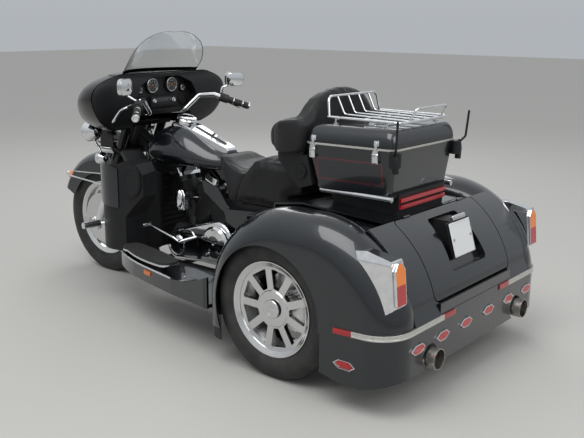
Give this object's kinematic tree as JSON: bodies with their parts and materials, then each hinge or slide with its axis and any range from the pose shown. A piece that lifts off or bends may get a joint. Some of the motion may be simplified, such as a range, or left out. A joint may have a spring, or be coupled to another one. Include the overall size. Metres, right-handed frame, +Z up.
{
  "type": "motorized trike",
  "caption": "Full-size three-wheeled touring motorcycle with one steered front wheel, a wide rear body with a trunk, a two-up seat, a top box with rack, a handlebar fairing and a windshield.",
  "frame": {"origin": "on the floor under the middle of the bounding box", "axes": "+Y to the rear, so the front points to -Y; +X to the vehicle's left; +Z up"},
  "size_m": [1.3, 2.769, 1.3923],
  "materials": {
    "body_paint": "metallic gloss",
    "fairing_black": "high gloss",
    "black_trim": "satin",
    "black_metal": "satin",
    "chrome": "polished",
    "cast_alloy": "satin",
    "polished_alloy": "polished",
    "black_leather": "satin",
    "tyre": "matte",
    "rubber": "matte",
    "clear_glass": "clear",
    "clear_plastic": "clear, lightly tinted",
    "red_plastic": "gloss",
    "steel": "satin",
    "amber_plastic": "gloss",
    "plate_white": "gloss",
    "mirror_glass": "mirror",
    "silver_strip": "satin",
    "dark_display": "gloss",
    "stitching": "matte"
  },
  "bodies": {
    "chassis": {"air_cleaner": "chrome", "backrest": "black_leather", "box_pedestal": "black_trim", "box_trim": "chrome", "engine_case": "cast_alloy", "engine_cylinders": "black_metal", "engine_guard": "chrome", "exhaust": "chrome", "fairing_pockets": "black_trim", "fender_left": "body_paint", "fender_right": "body_paint", "foot_controls": "chrome", "footboards": "rubber", "frame": "black_metal", "fuel_tank": "body_paint", "horn_cover": "chrome", "lower_fairings": "body_paint", "mudflaps": "rubber", "primary_cover": "chrome", "rear_axle": "black_metal", "rear_bumper": "body_paint", "rear_deck": "body_paint", "rear_pods": "black_trim", "red_lenses": "red_plastic", "rocker_covers": "chrome", "running_boards": "body_paint", "seat": "black_leather", "side_covers": "body_paint", "tail_lamp_housings": "chrome", "tank_console": "chrome", "top_box": "body_paint", "trunk_tub": "black_trim"},
    "steering": {"fork_legs": "chrome", "front_axle": "steel", "fork_clamps": "black_metal", "front_calipers": "black_metal", "front_fender": "body_paint", "fender_rails": "chrome", "handlebar": "chrome", "hand_controls": "rubber", "mirrors": "chrome", "outer_fairing": "fairing_black", "inner_fairing": "black_trim", "windshield": "clear_plastic", "front_lamps": "chrome", "lamp_glass": "clear_glass"},
    "front_wheel_body": {"front_wheel": "polished_alloy", "front_tyre": "tyre"},
    "left_wheel_body": {"rear_wheel_left": "polished_alloy", "rear_tyre_left": "tyre"},
    "right_wheel_body": {"rear_wheel_right": "polished_alloy", "rear_tyre_right": "tyre"},
    "trunk_lid_body": {"trunk_lid": "body_paint", "plate_holder": "black_metal"},
    "box_lid_body": {"box_lid": "body_paint", "luggage_rack": "chrome"}
  },
  "joints": [
    {"name": "steering_head", "type": "hinge", "parent": "chassis", "child": "steering", "pos_m": [0, -1.027, 0.32], "axis": [0, 0.4384, 0.8988], "range_deg": [-30, 30]},
    {"name": "front_wheel_spin", "type": "hinge", "parent": "steering", "child": "front_wheel_body", "pos_m": [0, -1.027, 0.32], "axis": [1, 0, 0], "continuous": true},
    {"name": "left_wheel_spin", "type": "hinge", "parent": "chassis", "child": "left_wheel_body", "pos_m": [0.515, 0.725, 0.303], "axis": [1, 0, 0], "continuous": true},
    {"name": "right_wheel_spin", "type": "hinge", "parent": "chassis", "child": "right_wheel_body", "pos_m": [-0.515, 0.725, 0.303], "axis": [1, 0, 0], "continuous": true},
    {"name": "trunk_lid_hinge", "type": "hinge", "parent": "chassis", "child": "trunk_lid_body", "pos_m": [0, 1.115, 0.685], "axis": [1, 0, 0], "range_deg": [0, 65]},
    {"name": "box_lid_hinge", "type": "hinge", "parent": "chassis", "child": "box_lid_body", "pos_m": [-0.294, 0.85, 0.956], "axis": [0, -1, 0], "range_deg": [0, 80]}
  ]
}
